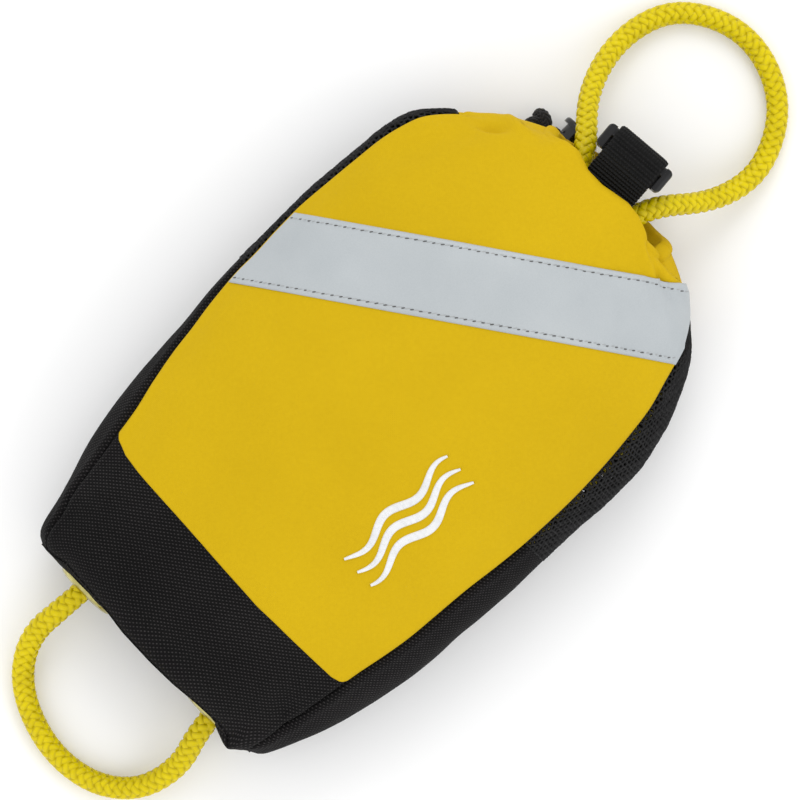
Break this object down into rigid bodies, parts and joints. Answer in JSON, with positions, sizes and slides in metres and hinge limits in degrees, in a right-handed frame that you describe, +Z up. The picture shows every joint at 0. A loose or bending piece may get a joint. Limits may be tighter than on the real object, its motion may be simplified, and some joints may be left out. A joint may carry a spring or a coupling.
{
  "type": "throw rope bag",
  "caption": "Small drawstring throw bag with mesh gussets, stuffed with floating rope that ends in a loop at the mouth and a handle loop through bottom grommets.",
  "frame": {"origin": "on the surface the bag lies on, under the middle of its bounding box without the two rope loops", "axes": "+Z up through the yellow front panel, +Y along the bag toward its mouth, +X across the bag to the right seen from above with the mouth away"},
  "size_m": [0.1382, 0.3273, 0.058],
  "materials": {
    "yellow_cloth": "matte",
    "black_cordura": "matte",
    "black_mesh": "matte",
    "reflective": "satin",
    "dark_thread": "matte",
    "white_thread": "satin",
    "rope_yellow": "satin",
    "cord_black": "matte",
    "webbing_black": "matte",
    "brass": "polished",
    "black_plastic": "gloss",
    "buckle_plastic": "satin",
    "spring_steel": "satin",
    "foam": "matte"
  },
  "bodies": {
    "bag": {"front_panel": "yellow_cloth", "mouth_hem": "yellow_cloth", "front_lower_panel": "black_cordura", "back_panel": "black_cordura", "gusset_lower_left": "black_cordura", "gusset_lower_right": "black_cordura", "bottom_panel": "black_cordura", "gusset_mesh_left": "black_mesh", "gusset_mesh_right": "black_mesh", "reflective_tape": "reflective", "tape_stitching": "dark_thread", "hem_stitching": "dark_thread", "tab_bartacks": "dark_thread", "emblem": "white_thread", "rope_throw_loop": "rope_yellow", "rope_handle_loop": "rope_yellow", "rope_handle_knots": "rope_yellow", "rope_stuffed": "rope_yellow", "drawcord": "cord_black", "drawcord_knot": "cord_black", "webbing_tab": "webbing_black", "grommets": "brass", "grommet_washers": "brass", "foam_float": "foam"},
    "buckle": {"buckle_frame": "buckle_plastic"},
    "prong_left": {"buckle_prong_left": "buckle_plastic"},
    "prong_right": {"buckle_prong_right": "buckle_plastic"},
    "cord_lock": {"cord_lock_body": "black_plastic", "cord_lock_spring": "spring_steel"},
    "lock_button": {"cord_lock_button": "black_plastic"}
  },
  "joints": [
    {"name": "buckle_swing", "type": "hinge", "parent": "bag", "child": "buckle", "pos_m": [-0.00187, 0.10954, 0.037], "axis": [0.9962, 0.0872, 0], "range_deg": [0, 150]},
    {"name": "prong_squeeze_left", "type": "hinge", "parent": "buckle", "child": "prong_left", "pos_m": [-0.0102, 0.10601, 0.0274], "axis": [0.0872, -0.9962, 0], "range_deg": [0, 8], "stiffness_Nm_per_rad": 0.05},
    {"name": "prong_squeeze_right", "type": "hinge", "parent": "buckle", "child": "prong_right", "pos_m": [0.00694, 0.10751, 0.0274], "axis": [-0.0872, 0.9962, 0], "range_deg": [0, 8], "stiffness_Nm_per_rad": 0.05},
    {"name": "cord_lock_slide", "type": "slide", "parent": "bag", "child": "cord_lock", "axis": [1, 0, 0], "range_m": [-0.0005, 0.0045]},
    {"name": "cord_lock_press", "type": "slide", "parent": "cord_lock", "child": "lock_button", "axis": [0, -1, 0], "range_m": [0, 0.003], "stiffness_N_per_m": 60}
  ]
}
